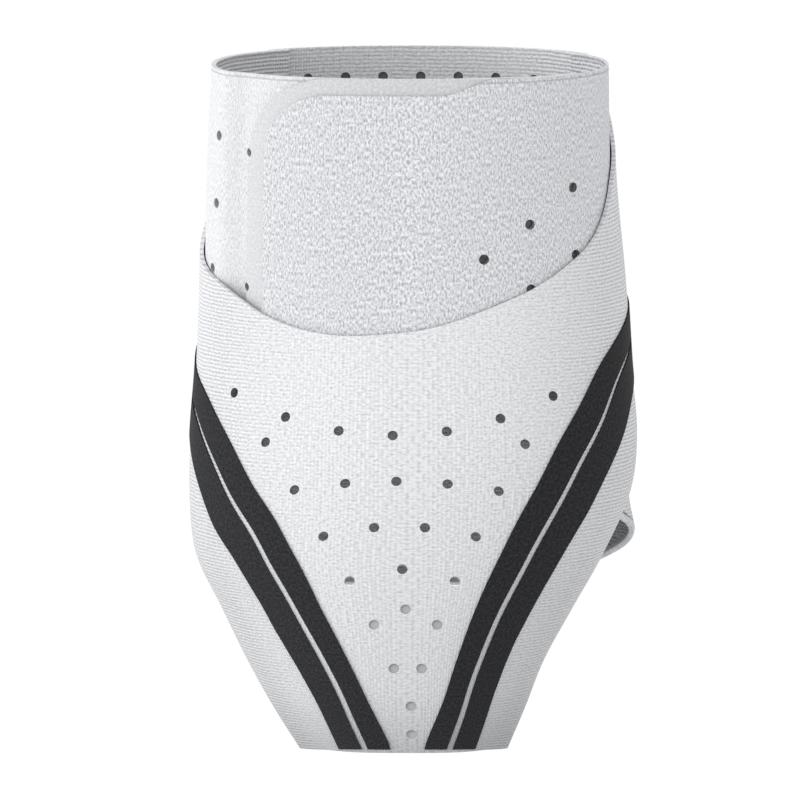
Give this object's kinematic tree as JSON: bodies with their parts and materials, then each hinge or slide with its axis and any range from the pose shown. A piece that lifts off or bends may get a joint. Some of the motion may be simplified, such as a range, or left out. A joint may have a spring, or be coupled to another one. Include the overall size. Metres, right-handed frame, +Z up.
{
  "type": "ankle support",
  "caption": "Thin knit ankle sleeve with an open heel, a wide pile strap closed round the leg, and dark bands crossing from instep to ankle.",
  "frame": {"origin": "middle of the cuff's top rim, where the leg goes in", "axes": "+Z up the leg, +Y to the heel, -Y to the toes, +X to the right as seen from the front"},
  "size_m": [0.1143, 0.1455, 0.1705],
  "materials": {
    "knit": "matt ribbed knit",
    "pile": "brushed loop pile",
    "smooth_patch": "smooth matt",
    "dark_elastic": "matt with a fine grain",
    "edge_binding": "stitched tape"
  },
  "bodies": {
    "root": {"ankle_sleeve": "knit", "under_flap": "pile", "closing_strap": "pile", "hook_tab": "smooth_patch", "inner_band": "dark_elastic", "outer_band": "dark_elastic", "heel_binding": "edge_binding"}
  },
  "joints": []
}
